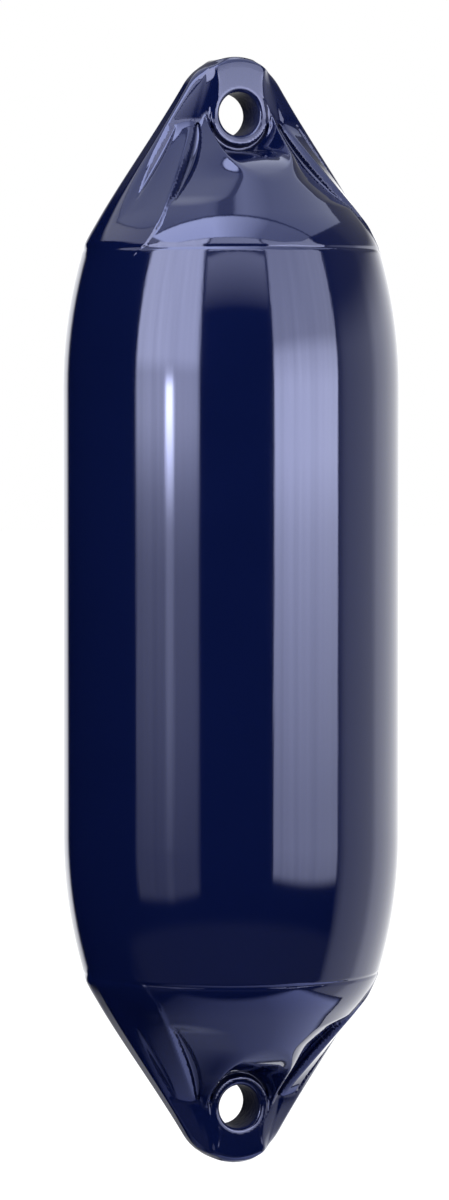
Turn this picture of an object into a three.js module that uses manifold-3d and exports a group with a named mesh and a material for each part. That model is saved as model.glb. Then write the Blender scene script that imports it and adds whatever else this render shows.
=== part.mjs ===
// Inflatable boat fender: a moulded vinyl body with a solid rope eye at each end, and its air valve.
// Millimetres, +Z up. The origin is the centre of the upper eye, whose bore runs along Y.
// Depths are measured along the axis from the tip of an end towards the middle of the body.
import * as THREE from 'three';
import { LoftGeometry } from 'three/addons/geometries/LoftGeometry.js';
import * as BufferGeometryUtils from 'three/addons/utils/BufferGeometryUtils.js';
import Module from 'manifold-3d';

const DEGREE = Math.PI / 180;

// Body of revolution
const LENGTH = 723;
const BODY_RADIUS = 110;
const CREASE_RADIUS = 97;
const CREASE_DEPTH = 125.5;
const SHOULDER_DEPTH = 215;
const DOME_HALF_ANGLE = 40.9 * DEGREE;
const DOME_APEX_DEPTH = 6.7;
const DOME_EDGE_LENGTH = 22;

// Rope eye
const EYE_DEPTH = 37.4;
const BORE_RADIUS = 14.2;
const BORE_LIP_RADIUS = 2;
const CHEEK_HALF_THICKNESS = 15;
const CHEEK_TOP_HALF_WIDTH = 16;
const CHEEK_SPREAD = 0.16;
const CHEEK_LARGEST_SHARE = 0.85;
const NOSE_RADIUS = 38;
const NOSE_ROUND_DEPTH = 5;
const NOSE_TIP_ANGLE = 0.04;

// Fins that run from the eye to the shoulders in the plane of the eye
const FIN_ANGLE = 31 * DEGREE;
const FIN_FOOT_DEPTH = 121;
const FIN_FOOT_HALF_WIDTH = 98.4;
const FIN_FOOT_ANGLE = 27.5 * DEGREE;
const FIN_EYE_HANDLE = 46;
const FIN_FOOT_HANDLE = 38;
const FIN_RUNOUT_DEPTH = 9;
const FIN_RUNOUT_SINK = 3;
const FIN_TOP_HALF_THICKNESS = 5;
const FIN_THICKENING = 0.058;
const FLUTE_START_DEPTH = 46;
const FLUTE_WIDTH = 6;
const FLUTE_SINK = 1.6;
const FLUTE_SMALLEST_SHARE = 0.05;

// Flank ridges at the foot of the fins, and the tapered channel between each ridge and the dome
const FOLD_TOP_HALF_WIDTH = 19;
const FOLD_SPREAD = 0.29;
const FOLD_HEIGHT_SHARE = 0.72;
const CREST_LARGEST_SHARE = 0.93;
const RIDGE_START_DEPTH = 41;
const RIDGE_SPREAD = 0.625;
const RIDGE_HEIGHT = 2.4;
const CHANNEL_START_DEPTH = 39;
const CHANNEL_END_DEPTH = 110;
const CHANNEL_EDGE_ANGLE = 37.2 * DEGREE;
const CHANNEL_SINK = 7;
const CHANNEL_HEAD_LENGTH = 14;
const CHANNEL_TAIL_LENGTH = 45;
const CHANNEL_END_SHARE = 0.06;
const CHANNEL_FLOOR_SHARE = 0.6;
const CHANNEL_WALL_REACH = 0.6;

// Flared recess round each side of the eye, with a boss round the bore
const RECESS_RADIUS = 23.7;
const RECESS_MOUTH_RADIUS = 45.5;
const RECESS_MOUTH_HEIGHT = 62.3;
const RECESS_WAIST_RADIUS = 31.5;
const RECESS_RAMP_ANGLE = 19 * DEGREE;
const RECESS_RAMP_START = 23.5;
const BOSS_RADIUS = 20.6;
const MOAT_RADIUS = 20.2;
const MOAT_SHIFT = 3.5;
const MOAT_SINK = 4;
const MOAT_DRAFT = 0.35;

// Air valve, on the back of the upper dome
const VALVE_DEPTH = 98;
const CLEARANCE = 0.3;
const BUSH_FLANGE_RADIUS = 12;
const BUSH_FLANGE_THICKNESS = 3;
const BUSH_BARREL_RADIUS = 8;
const BUSH_LENGTH = 17;
const BUSH_PROUD = 0.6;
const BUSH_BEVEL = 0.8;
const SCREW_HEAD_RADIUS = 7;
const SCREW_HEAD_THICKNESS = 2.6;
const SCREW_SHANK_RADIUS = 4.6;
const SCREW_LENGTH = 13;
const SCREW_PROUD = 0.8;
const SCREW_HEAD_BEVEL = 0.6;
const SCREW_END_BEVEL = 1;
const SLOT_WIDTH = 1.8;
const SLOT_SINK = 1.4;

// Facets
const BODY_SEGMENTS = 64;
const BORE_SEGMENTS = 32;
const RECESS_SEGMENTS = 44;
const VALVE_SEGMENTS = 36;
const SHOULDER_STEPS = 3;
const DOME_EDGE_STEPS = 3;
const NOSE_STEPS = 6;
const FIN_STEPS = 10;
const RUNOUT_STEPS = 3;
const CHANNEL_STEPS = 9;
const RECESS_STEPS = 5;
const LIP_STEPS = 2;

// Extra reach of a cutter past the face that it opens
const REACH = 2;

const HALF_LENGTH = LENGTH / 2;
const EYE_HEIGHT = HALF_LENGTH - EYE_DEPTH;

const wasm = await Module();
wasm.setup();

function toSolid(geometry) {
  const bare = new THREE.BufferGeometry();
  bare.setAttribute('position', geometry.attributes.position);
  bare.setIndex(geometry.index);
  const merged = BufferGeometryUtils.mergeVertices(bare, 1e-4);
  return new wasm.Manifold(new wasm.Mesh({
    numProp: 3,
    vertProperties: new Float32Array(merged.attributes.position.array),
    triVerts: new Uint32Array(merged.index.array),
  }));
}

function toGeometry(solid) {
  const mesh = solid.getMesh();
  const geometry = new THREE.BufferGeometry();
  geometry.setAttribute('position', new THREE.BufferAttribute(mesh.vertProperties, 3));
  geometry.setIndex(new THREE.BufferAttribute(mesh.triVerts, 1));
  geometry.computeVertexNormals();
  return geometry;
}

// A profile of (radius, height) points turned about +Z
function turned(profile, segments) {
  return new THREE.LatheGeometry(profile, segments).rotateX(Math.PI / 2);
}

// The same profile turned about the bore's axis, its height measured along +Y or -Y
function turnedAboutBore(profile, segments, side) {
  const geometry = new THREE.LatheGeometry(profile, segments);
  if (side < 0) geometry.rotateX(Math.PI);
  return geometry.translate(0, 0, EYE_HEIGHT);
}

function domeRadius(depth) {
  return (depth - DOME_APEX_DEPTH) * Math.tan(DOME_HALF_ANGLE);
}

// Radius of the shoulder's arc, which leaves the straight side smoothly and ends at the crease
function shoulderRadius() {
  const rise = SHOULDER_DEPTH - CREASE_DEPTH;
  const inset = BODY_RADIUS - CREASE_RADIUS;
  return (rise * rise + inset * inset) / (2 * inset);
}

// One end of the turned body, as (radius, height) points from the straight side to the apex
function endProfile() {
  const arcRadius = shoulderRadius();
  const sweep = Math.asin((SHOULDER_DEPTH - CREASE_DEPTH) / arcRadius);
  const creaseHeight = HALF_LENGTH - CREASE_DEPTH;
  const shoulder = new THREE.Path();
  shoulder.absarc(BODY_RADIUS - arcRadius, HALF_LENGTH - SHOULDER_DEPTH, arcRadius, 0, sweep);
  const edgeDepth = CREASE_DEPTH - DOME_EDGE_LENGTH;
  const cornerDepth = DOME_APEX_DEPTH + CREASE_RADIUS / Math.tan(DOME_HALF_ANGLE);
  const domeEdge = new THREE.Path();
  domeEdge.moveTo(CREASE_RADIUS, creaseHeight);
  domeEdge.quadraticCurveTo(
    domeRadius(Math.min(cornerDepth, (CREASE_DEPTH + edgeDepth) / 2)),
    HALF_LENGTH - Math.min(cornerDepth, (CREASE_DEPTH + edgeDepth) / 2),
    domeRadius(edgeDepth),
    HALF_LENGTH - edgeDepth,
  );
  return [
    ...shoulder.getPoints(SHOULDER_STEPS).slice(0, -1),
    ...domeEdge.getPoints(DOME_EDGE_STEPS),
    new THREE.Vector2(0, HALF_LENGTH - DOME_APEX_DEPTH),
  ];
}

function turnedBody() {
  const upper = endProfile();
  const lower = upper.map((point) => new THREE.Vector2(point.x, -point.y)).reverse();
  return toSolid(turned([...lower, ...upper], BODY_SEGMENTS));
}

// Outline of eye and fin as (depth, half-width) points: the nose's arc, then one long S curve
function finOutline() {
  const outline = new THREE.Path();
  const noseStart = Math.PI - NOSE_TIP_ANGLE;
  const noseEnd = Math.PI / 2 + FIN_ANGLE;
  outline.absarc(NOSE_RADIUS, 0, NOSE_RADIUS, noseStart, noseEnd, true);
  const nose = outline.getPoints(NOSE_STEPS);
  const tangent = nose[nose.length - 1];
  const flank = new THREE.CubicBezierCurve(
    tangent,
    new THREE.Vector2(
      tangent.x + FIN_EYE_HANDLE * Math.cos(FIN_ANGLE),
      tangent.y + FIN_EYE_HANDLE * Math.sin(FIN_ANGLE),
    ),
    new THREE.Vector2(
      FIN_FOOT_DEPTH - FIN_FOOT_HANDLE * Math.cos(FIN_FOOT_ANGLE),
      FIN_FOOT_HALF_WIDTH - FIN_FOOT_HANDLE * Math.sin(FIN_FOOT_ANGLE),
    ),
    new THREE.Vector2(FIN_FOOT_DEPTH, FIN_FOOT_HALF_WIDTH),
  );
  const runout = new THREE.QuadraticBezierCurve(
    new THREE.Vector2(FIN_FOOT_DEPTH, FIN_FOOT_HALF_WIDTH),
    new THREE.Vector2(
      FIN_FOOT_DEPTH + FIN_RUNOUT_DEPTH / 4,
      FIN_FOOT_HALF_WIDTH + FIN_RUNOUT_DEPTH / 4 * Math.tan(FIN_FOOT_ANGLE),
    ),
    new THREE.Vector2(FIN_FOOT_DEPTH + FIN_RUNOUT_DEPTH, FIN_FOOT_HALF_WIDTH - FIN_RUNOUT_SINK),
  );
  return [
    ...nose,
    ...flank.getPoints(FIN_STEPS).slice(1),
    ...runout.getPoints(RUNOUT_STEPS).slice(1),
  ];
}

// A bump that rises from 0 at the first depth to 1 half way and falls to 0 at the last
function swell(depth, first, last) {
  const share = THREE.MathUtils.clamp((depth - first) / (last - first), 0, 1);
  return Math.sin(Math.PI * share);
}

// Corners of a quarter section at a depth: the fin's edge, the crest of the fold or flank ridge,
// and the edge of the flat cheek, as (half-width, half-thickness)
function quarterCorners(depth, halfWidth) {
  const edge = new THREE.Vector2(halfWidth, FIN_TOP_HALF_THICKNESS + FIN_THICKENING * depth);
  const rounding = Math.max(1 - depth / NOSE_ROUND_DEPTH, 0);
  const fullness = Math.sqrt(1 - rounding * rounding);
  const cheek = new THREE.Vector2(
    Math.min(CHEEK_TOP_HALF_WIDTH + CHEEK_SPREAD * depth, halfWidth * CHEEK_LARGEST_SHARE),
    THREE.MathUtils.lerp(edge.y, CHEEK_HALF_THICKNESS, fullness),
  );
  const pastStart = Math.max(depth - RIDGE_START_DEPTH, 0);
  const crestX = Math.min(
    FOLD_TOP_HALF_WIDTH + FOLD_SPREAD * Math.min(depth, RIDGE_START_DEPTH) + RIDGE_SPREAD * pastStart,
    halfWidth * CREST_LARGEST_SHARE,
  );
  const ridgeRadius = Math.min(domeRadius(depth) + RIDGE_HEIGHT, CREASE_RADIUS);
  const foldHeight = THREE.MathUtils.lerp(edge.y, cheek.y, FOLD_HEIGHT_SHARE);
  const ridgeHeight = Math.sqrt(Math.max(ridgeRadius * ridgeRadius - crestX * crestX, 0));
  const crest = new THREE.Vector2(crestX, Math.max(foldHeight, ridgeHeight));
  return { edge, crest, cheek };
}

// A quarter of the section through eye and fins at a depth, from the fin's edge to the cheek
function bladeQuarter(depth, halfWidth) {
  const { edge, crest, cheek } = quarterCorners(depth, halfWidth);
  const fluteShare = swell(depth, FLUTE_START_DEPTH, FIN_FOOT_DEPTH);
  const web = crest.clone().sub(edge).normalize();
  const fluteWidth = Math.max(FLUTE_WIDTH * fluteShare, crest.distanceTo(edge) * FLUTE_SMALLEST_SHARE);
  const border = edge.clone().addScaledVector(web, fluteWidth);
  const hollow = edge.clone().addScaledVector(web, fluteWidth / 2);
  hollow.add(new THREE.Vector2(-web.y, web.x).multiplyScalar(FLUTE_SINK * fluteShare));
  return [edge, hollow, border, crest, cheek];
}

// Eye and fins of one end, lofted from section to section along the axis
function bladeSolid() {
  const sections = finOutline().map((station) => {
    const quarter = bladeQuarter(station.x, station.y);
    const height = HALF_LENGTH - station.x;
    const right = quarter.map((point) => [point.x, point.y]);
    const left = quarter.slice().reverse().map((point) => [-point.x, point.y]);
    const leftFar = quarter.map((point) => [-point.x, -point.y]);
    const rightFar = quarter.slice().reverse().map((point) => [point.x, -point.y]);
    return [...right, ...left, ...leftFar, ...rightFar]
      .map(([x, y]) => new THREE.Vector3(x, y, height))
      .reverse();
  });
  return toSolid(new LoftGeometry(sections, { capStart: true, capEnd: true }));
}

// V channel between the flank ridge and a straight edge of the dome, in the quarter given by
// the two signs. Its floor rises to nothing towards the crease.
function channelCutter(signX, signY) {
  const sections = [];
  for (let step = 0; step <= CHANNEL_STEPS; step += 1) {
    const depth = THREE.MathUtils.lerp(CHANNEL_START_DEPTH, CHANNEL_END_DEPTH, step / CHANNEL_STEPS);
    const { crest } = quarterCorners(depth, BODY_RADIUS);
    const domeEdge = new THREE.Vector2(Math.cos(CHANNEL_EDGE_ANGLE), Math.sin(CHANNEL_EDGE_ANGLE))
      .multiplyScalar(domeRadius(depth));
    const head = (depth - CHANNEL_START_DEPTH) / CHANNEL_HEAD_LENGTH;
    const tail = (CHANNEL_END_DEPTH - depth) / CHANNEL_TAIL_LENGTH;
    const sinkShare = THREE.MathUtils.clamp(Math.min(head, tail), CHANNEL_END_SHARE, 1);
    const floor = crest.clone().lerp(domeEdge, CHANNEL_FLOOR_SHARE);
    floor.setLength(floor.length() - CHANNEL_SINK * sinkShare);
    const ridgeSide = crest.clone().lerp(floor, -CHANNEL_WALL_REACH);
    const domeSide = domeEdge.clone().lerp(floor, -CHANNEL_WALL_REACH);
    const corners = [ridgeSide, domeSide, floor]
      .map((corner) => new THREE.Vector3(signX * corner.x, signY * corner.y, HALF_LENGTH - depth));
    sections.push(signX * signY > 0 ? corners.reverse() : corners);
  }
  return toSolid(new LoftGeometry(sections, { capStart: true, capEnd: true }));
}

// Flared recess on one face of the eye, kept short of the dome's lip by a sloping lower wall
function recessCutter(side) {
  const reachHeight = BODY_RADIUS;
  const slope = (RECESS_MOUTH_RADIUS - RECESS_WAIST_RADIUS) * 2
    / (RECESS_MOUTH_HEIGHT - CHEEK_HALF_THICKNESS);
  const flare = new THREE.Path();
  flare.moveTo(RECESS_RADIUS, CHEEK_HALF_THICKNESS);
  flare.quadraticCurveTo(
    RECESS_WAIST_RADIUS,
    (CHEEK_HALF_THICKNESS + RECESS_MOUTH_HEIGHT) / 2,
    RECESS_MOUTH_RADIUS,
    RECESS_MOUTH_HEIGHT,
  );
  const profile = [
    new THREE.Vector2(0, CHEEK_HALF_THICKNESS),
    ...flare.getPoints(RECESS_STEPS),
    new THREE.Vector2(RECESS_MOUTH_RADIUS + slope * (reachHeight - RECESS_MOUTH_HEIGHT), reachHeight),
    new THREE.Vector2(0, reachHeight),
  ];
  const bell = toSolid(turnedAboutBore(profile, RECESS_SEGMENTS, side));
  const rampTop = new THREE.BoxGeometry(BODY_RADIUS * 3, BODY_RADIUS * 3, BODY_RADIUS * 2);
  rampTop.translate(0, 0, -BODY_RADIUS);
  rampTop.rotateX(-side * RECESS_RAMP_ANGLE);
  rampTop.translate(0, side * CHEEK_HALF_THICKNESS, EYE_HEIGHT - RECESS_RAMP_START);
  return bell.subtract(toSolid(rampTop));
}

// Crescent pocket between the boss round the bore and the foot of the recess
function moatCutter(side) {
  const floor = CHEEK_HALF_THICKNESS - MOAT_SINK;
  const disc = turnedAboutBore([
    new THREE.Vector2(0, floor),
    new THREE.Vector2(MOAT_RADIUS - MOAT_DRAFT * MOAT_SINK, floor),
    new THREE.Vector2(MOAT_RADIUS, CHEEK_HALF_THICKNESS + REACH),
    new THREE.Vector2(0, CHEEK_HALF_THICKNESS + REACH),
  ], RECESS_SEGMENTS, side).translate(0, 0, -MOAT_SHIFT);
  const boss = turnedAboutBore([
    new THREE.Vector2(0, 0),
    new THREE.Vector2(BOSS_RADIUS, 0),
    new THREE.Vector2(BOSS_RADIUS, BODY_RADIUS),
    new THREE.Vector2(0, BODY_RADIUS),
  ], RECESS_SEGMENTS, side);
  return toSolid(disc).subtract(toSolid(boss));
}

// Bore of the eye with its two rounded lips
function boreCutter() {
  const lip = new THREE.Path();
  lip.absarc(
    BORE_RADIUS + BORE_LIP_RADIUS,
    CHEEK_HALF_THICKNESS - BORE_LIP_RADIUS,
    BORE_LIP_RADIUS,
    Math.PI,
    Math.PI / 2,
    true,
  );
  const outer = lip.getPoints(LIP_STEPS);
  const half = [
    ...outer,
    new THREE.Vector2(BORE_RADIUS + BORE_LIP_RADIUS, CHEEK_HALF_THICKNESS + REACH),
    new THREE.Vector2(0, CHEEK_HALF_THICKNESS + REACH),
  ];
  const mirrored = half.map((point) => new THREE.Vector2(point.x, -point.y)).reverse();
  return toSolid(turnedAboutBore([...mirrored, ...half], BORE_SEGMENTS, 1));
}

// Everything that is cut out of one end
function endCutters() {
  const cutters = [boreCutter()];
  for (const side of [1, -1]) {
    cutters.push(recessCutter(side), moatCutter(side));
    for (const signX of [1, -1]) {
      cutters.push(channelCutter(signX, side));
    }
  }
  return cutters.reduce((all, cutter) => all.add(cutter));
}

// Turns what is made for the upper end over to the lower end
function toLowerEnd(solid) {
  return toSolid(toGeometry(solid).rotateX(Math.PI));
}

// Place and direction of the valve: its own +Z points straight out of the dome's face
function valvePlacement() {
  const placement = new THREE.Object3D();
  placement.position.set(0, domeRadius(VALVE_DEPTH), HALF_LENGTH - VALVE_DEPTH);
  placement.rotation.x = -(Math.PI / 2 - DOME_HALF_ANGLE);
  placement.updateMatrix();
  return placement;
}

function valvePocket() {
  const seat = BUSH_PROUD - BUSH_FLANGE_THICKNESS - CLEARANCE;
  const bottom = BUSH_PROUD - BUSH_LENGTH - CLEARANCE;
  const profile = [
    new THREE.Vector2(0, bottom),
    new THREE.Vector2(BUSH_BARREL_RADIUS + CLEARANCE, bottom),
    new THREE.Vector2(BUSH_BARREL_RADIUS + CLEARANCE, seat),
    new THREE.Vector2(BUSH_FLANGE_RADIUS + CLEARANCE, seat),
    new THREE.Vector2(BUSH_FLANGE_RADIUS + CLEARANCE, REACH * 2),
    new THREE.Vector2(0, REACH * 2),
  ];
  return toSolid(turned(profile, VALVE_SEGMENTS).applyMatrix4(valvePlacement().matrix));
}

function bodyMesh() {
  const blade = bladeSolid();
  const cutters = endCutters();
  const solid = turnedBody()
    .add(blade)
    .add(toLowerEnd(blade))
    .subtract(cutters)
    .subtract(toLowerEnd(cutters))
    .subtract(valvePocket());
  const mesh = new THREE.Mesh(toGeometry(solid), vinyl);
  mesh.name = 'fender_body';
  return mesh;
}

// Soft bush that is welded into the body and holds the valve screw
function valveBushMesh() {
  const headSeat = BUSH_PROUD + SCREW_PROUD - SCREW_HEAD_THICKNESS - CLEARANCE;
  const boreRadius = SCREW_SHANK_RADIUS + CLEARANCE;
  const top = BUSH_PROUD;
  const seat = BUSH_PROUD - BUSH_FLANGE_THICKNESS;
  const bottom = BUSH_PROUD - BUSH_LENGTH;
  const profile = [
    new THREE.Vector2(boreRadius, bottom),
    new THREE.Vector2(BUSH_BARREL_RADIUS, bottom),
    new THREE.Vector2(BUSH_BARREL_RADIUS, seat),
    new THREE.Vector2(BUSH_FLANGE_RADIUS, seat),
    new THREE.Vector2(BUSH_FLANGE_RADIUS, top - BUSH_BEVEL),
    new THREE.Vector2(BUSH_FLANGE_RADIUS - BUSH_BEVEL, top),
    new THREE.Vector2(SCREW_HEAD_RADIUS + CLEARANCE, top),
    new THREE.Vector2(SCREW_HEAD_RADIUS + CLEARANCE, headSeat),
    new THREE.Vector2(boreRadius, headSeat),
    new THREE.Vector2(boreRadius, bottom),
  ];
  const mesh = new THREE.Mesh(turned(profile, VALVE_SEGMENTS), bushPlastic);
  mesh.name = 'valve_bush';
  return mesh;
}

// Slotted screw that closes the valve
function valveScrewMesh() {
  const top = BUSH_PROUD + SCREW_PROUD;
  const underHead = top - SCREW_HEAD_THICKNESS;
  const profile = [
    new THREE.Vector2(0, top - SCREW_LENGTH),
    new THREE.Vector2(SCREW_SHANK_RADIUS - SCREW_END_BEVEL, top - SCREW_LENGTH),
    new THREE.Vector2(SCREW_SHANK_RADIUS, top - SCREW_LENGTH + SCREW_END_BEVEL),
    new THREE.Vector2(SCREW_SHANK_RADIUS, underHead),
    new THREE.Vector2(SCREW_HEAD_RADIUS, underHead),
    new THREE.Vector2(SCREW_HEAD_RADIUS, top - SCREW_HEAD_BEVEL),
    new THREE.Vector2(SCREW_HEAD_RADIUS - SCREW_HEAD_BEVEL, top),
    new THREE.Vector2(0, top),
  ];
  const slot = new THREE.BoxGeometry(SCREW_HEAD_RADIUS * 3, SLOT_WIDTH, SLOT_SINK * 2);
  slot.translate(0, 0, top);
  const solid = toSolid(turned(profile, VALVE_SEGMENTS)).subtract(toSolid(slot));
  const mesh = new THREE.Mesh(toGeometry(solid), screwPlastic);
  mesh.name = 'valve_screw';
  return mesh;
}

const vinyl = new THREE.MeshStandardMaterial({ color: 0x141b46, roughness: 0.22, metalness: 0 });
const bushPlastic = new THREE.MeshStandardMaterial({ color: 0x10163a, roughness: 0.4, metalness: 0 });
const screwPlastic = new THREE.MeshStandardMaterial({ color: 0x1d2550, roughness: 0.45, metalness: 0 });

const valve = valvePlacement();
valve.add(valveBushMesh(), valveScrewMesh());

const group = new THREE.Group();
group.add(bodyMesh(), valve);
group.position.z = -EYE_HEIGHT;

export default group;
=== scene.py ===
"""Looks of an inflatable boat fender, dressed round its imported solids.

The row frame is the CAD's: the origin is the centre of the upper eye, +Z is up and the bores of
both eyes run along Y. Forms are worked out in millimetres and written to Blender in metres.
"""

import logging
import math
from dataclasses import dataclass, field
from enum import Enum
from itertools import product
from typing import Callable, Optional, Union

import bpy
import numpy as np
from mathutils import Matrix, Vector


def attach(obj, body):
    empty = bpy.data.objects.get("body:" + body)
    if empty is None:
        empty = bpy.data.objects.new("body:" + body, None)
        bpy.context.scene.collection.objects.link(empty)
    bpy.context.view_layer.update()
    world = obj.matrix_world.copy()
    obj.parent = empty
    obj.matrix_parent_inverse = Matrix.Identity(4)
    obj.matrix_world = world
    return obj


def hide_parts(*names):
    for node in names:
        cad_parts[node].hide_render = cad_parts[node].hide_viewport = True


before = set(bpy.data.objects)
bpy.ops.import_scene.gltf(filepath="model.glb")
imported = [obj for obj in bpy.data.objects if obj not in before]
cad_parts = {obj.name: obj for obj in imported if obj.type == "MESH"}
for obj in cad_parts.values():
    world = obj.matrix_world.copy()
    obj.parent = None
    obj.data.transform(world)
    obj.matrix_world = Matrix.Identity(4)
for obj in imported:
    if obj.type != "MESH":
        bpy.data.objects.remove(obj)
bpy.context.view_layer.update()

LOG = logging.getLogger("fender")
METRES = 0.001
UP = Vector((0.0, 0.0, 1.0))
LEAST_RUN = 0.5
LEAST_SLOPE = 0.2
Field = Callable[[np.ndarray, np.ndarray, np.ndarray], np.ndarray]


class Body(Enum):
    """Bodies that pieces ride on."""

    ROOT = "root"


class Slot(Enum):
    """Names of the materials that the pieces are dressed in."""

    VINYL = "vinyl"
    BUSH = "bush_plastic"
    SCREW = "screw_plastic"


class End(Enum):
    """The two ends of the body, with the sign of Z that points out of each tip."""

    UPPER = 1.0
    LOWER = -1.0


def smooth_union(first: np.ndarray, second: np.ndarray, blend: float) -> np.ndarray:
    """Joins two fields with a rounded inner corner.

    Args:
        first: Field values, negative inside.
        second: Field values of the other form.
        blend: Width of the rounding in millimetres.

    Returns:
        The field of the joined form.
    """
    share = np.clip(0.5 + 0.5 * (second - first) / blend, 0.0, 1.0)
    return second * (1 - share) + first * share - blend * share * (1 - share)


def smooth_overlap(first: np.ndarray, second: np.ndarray, blend: float) -> np.ndarray:
    """Keeps what two fields share, with a rounded outer edge.

    Args:
        first: Field values, negative inside.
        second: Field values of the other form.
        blend: Width of the rounding in millimetres.

    Returns:
        The field of the shared form.
    """
    return -smooth_union(-first, -second, blend)


def smooth_step(value: np.ndarray, first: float, last: float) -> np.ndarray:
    """Rises from 0 at the first value to 1 at the last without a corner.

    Args:
        value: Values to place between the two limits.
        first: Value where the rise starts.
        last: Value where the rise ends.

    Returns:
        Shares from 0 to 1.
    """
    share = np.clip((value - first) / (last - first), 0.0, 1.0)
    return share * share * (3 - 2 * share)


def along_axis(line: np.ndarray, axis: int) -> np.ndarray:
    """Lays a line of values along one of three axes."""
    return line.reshape([-1 if k == axis else 1 for k in range(3)])


def slope_scale(slope: np.ndarray) -> np.ndarray:
    """Turns a height difference over a slope into a distance, as the cosine of its angle."""
    return 1 / np.sqrt(1 + slope * slope)


@dataclass
class ValveSeat:
    """Pocket for the air valve in the back of the upper dome, in millimetres."""

    depth: float = 98.0
    clearance: float = 0.3
    flange_radius: float = 12.0
    flange_thickness: float = 3.0
    barrel_radius: float = 8.0
    bush_length: float = 17.0
    proud: float = 0.6
    edge: float = 0.5

    def field(self, form: "EndForm", x: np.ndarray, y: np.ndarray, depth: np.ndarray) -> np.ndarray:
        """Gives the pocket as a field that is negative where vinyl is taken away.

        Args:
            form: The end that holds the pocket.
            x: Widths across the fins.
            y: Heights from the plane of the fins.
            depth: Depths from the tip.

        Returns:
            The pocket's field.
        """
        angle = form.dome_half_angle
        centre = float(form.dome_radius(np.array(self.depth)))
        out = (y - centre) * math.cos(angle) - (depth - self.depth) * math.sin(angle)
        along = (y - centre) * math.sin(angle) + (depth - self.depth) * math.cos(angle)
        radius = np.hypot(x, along)
        seat = self.proud - self.flange_thickness - self.clearance
        bottom = self.proud - self.bush_length - self.clearance
        flange = np.maximum(radius - self.flange_radius - self.clearance, seat - out)
        barrel = np.maximum(radius - self.barrel_radius - self.clearance, bottom - out)
        return np.minimum(flange, barrel)


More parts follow.
